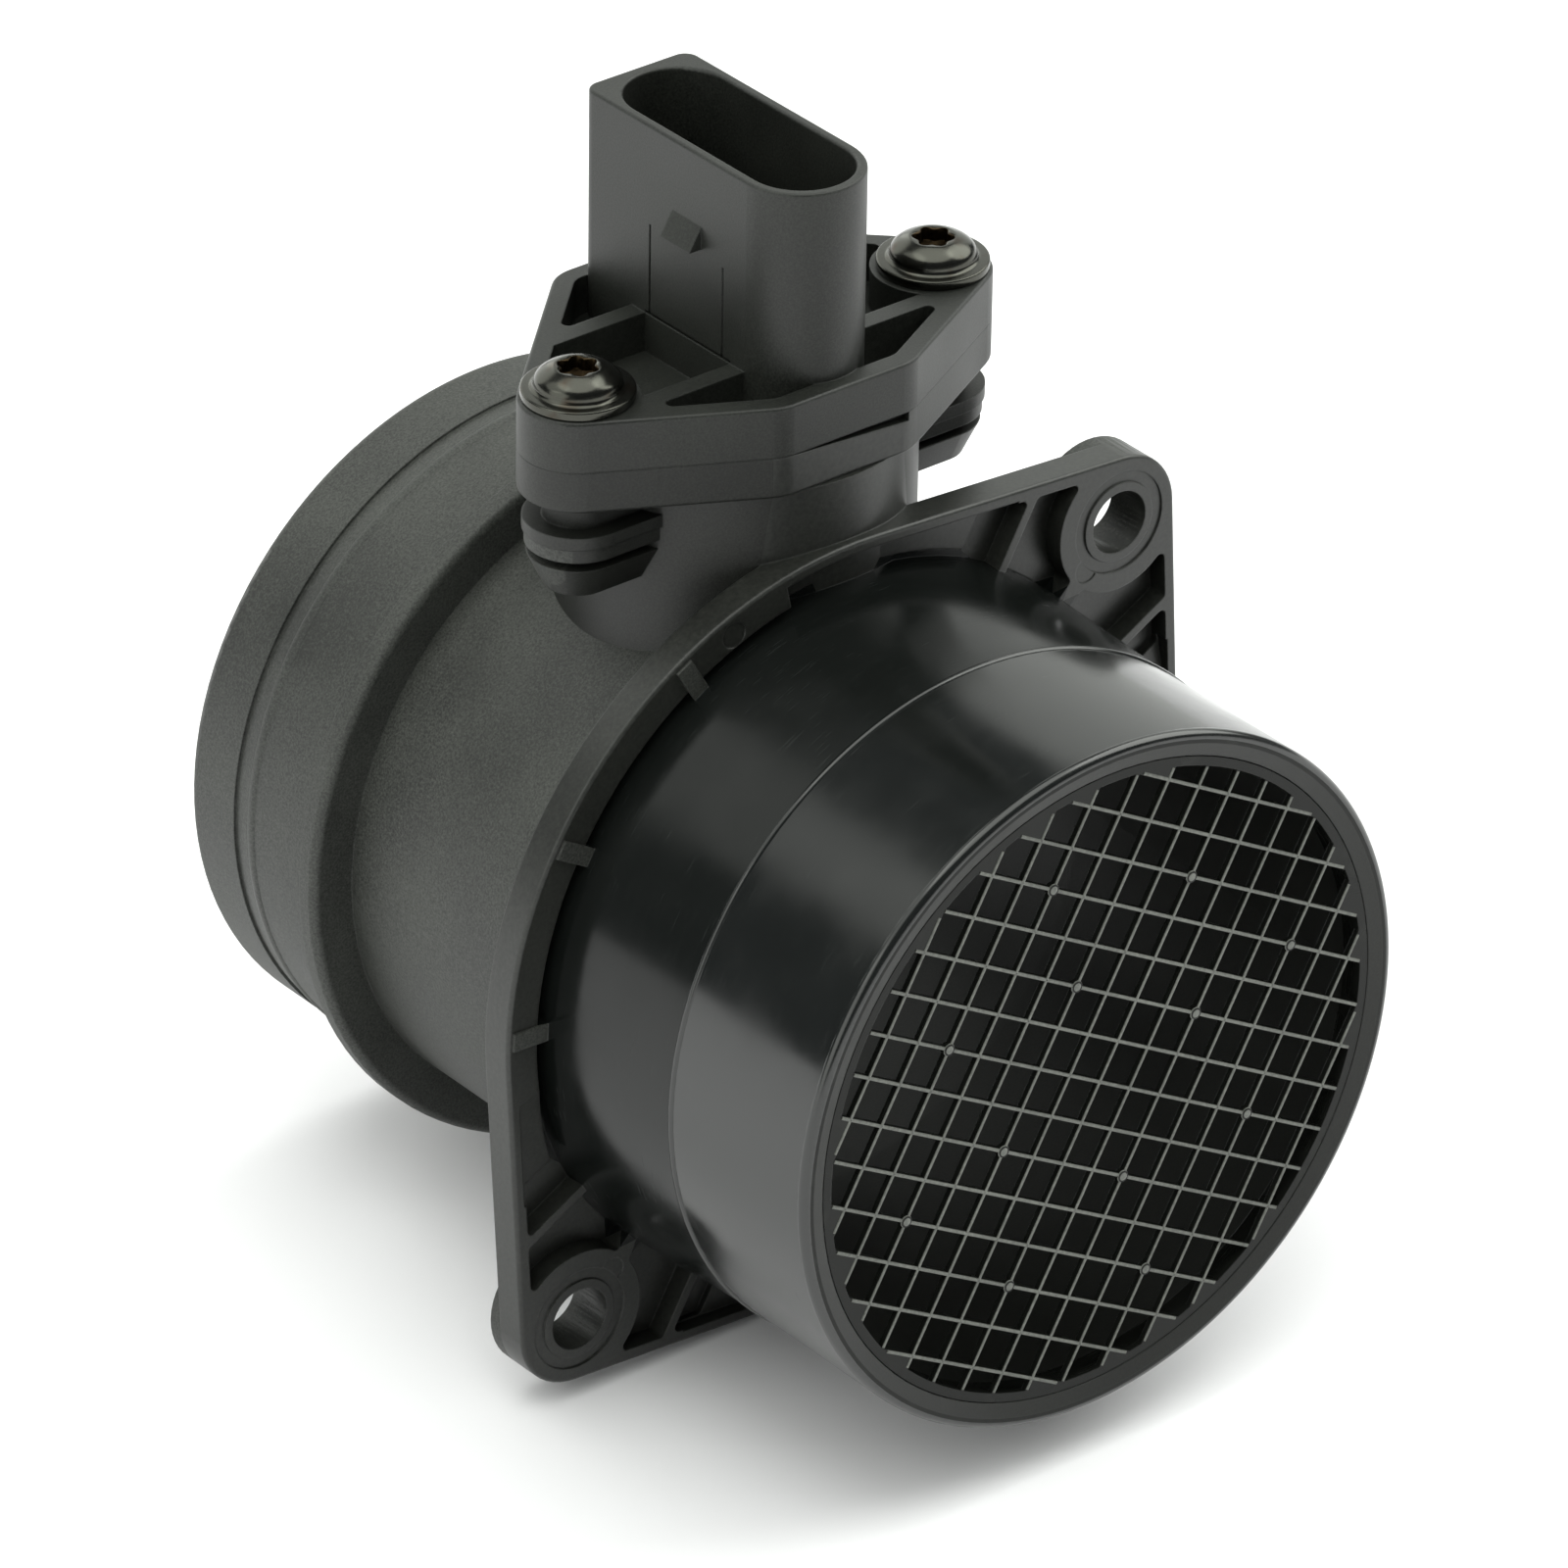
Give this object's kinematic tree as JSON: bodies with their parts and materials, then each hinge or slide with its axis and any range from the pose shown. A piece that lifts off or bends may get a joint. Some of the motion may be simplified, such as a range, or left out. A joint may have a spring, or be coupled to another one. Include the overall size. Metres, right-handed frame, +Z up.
{
  "type": "mass airflow sensor",
  "caption": "Hot-film mass airflow sensor: a plug-in sensing module screwed into a round flow duct with an inlet grille, a bolt flange and a hose spigot.",
  "frame": {"origin": "on the duct axis at the bolt face of the flange, the centre of the two bolt holes", "axes": "+Y along the duct towards the outlet, +Z up through the connector, +X right seen from the inlet"},
  "size_m": [0.0862, 0.0995, 0.1239],
  "materials": {
    "duct_plastic": "matte, glossy on the inlet spigot",
    "grille_plastic": "satin",
    "carrier_plastic": "fine matte texture",
    "screw_steel": "black zinc, shiny",
    "seal_rubber": "smooth",
    "terminal_metal": "tinned",
    "plate_aluminium": "fine blasted",
    "board_ceramic": "fired, matte",
    "chip_resin": "moulded",
    "capacitor_ceramic": "fired",
    "ribbon_aluminium": "bright",
    "holder_plastic": "moulded",
    "element_silicon": "polished",
    "bead_glass": "dipped bead",
    "lead_metal": "drawn wire"
  },
  "bodies": {
    "root": {"base_plate": "plate_aluminium", "bond_ribbons": "ribbon_aluminium", "bypass_cover": "carrier_plastic", "capacitors": "capacitor_ceramic", "duct_housing": "duct_plastic", "electronics_cover": "carrier_plastic", "evaluation_chip": "chip_resin", "hybrid_board": "board_ceramic", "inlet_grille": "grille_plastic", "module_screws": "screw_steel", "module_seal": "seal_rubber", "sensor_carrier": "carrier_plastic", "sensor_element": "element_silicon", "sensor_holder": "holder_plastic", "temperature_bead": "bead_glass", "temperature_leads": "lead_metal", "terminal_1": "terminal_metal", "terminal_2": "terminal_metal", "terminal_3": "terminal_metal", "terminal_4": "terminal_metal", "terminal_5": "terminal_metal"}
  },
  "joints": []
}
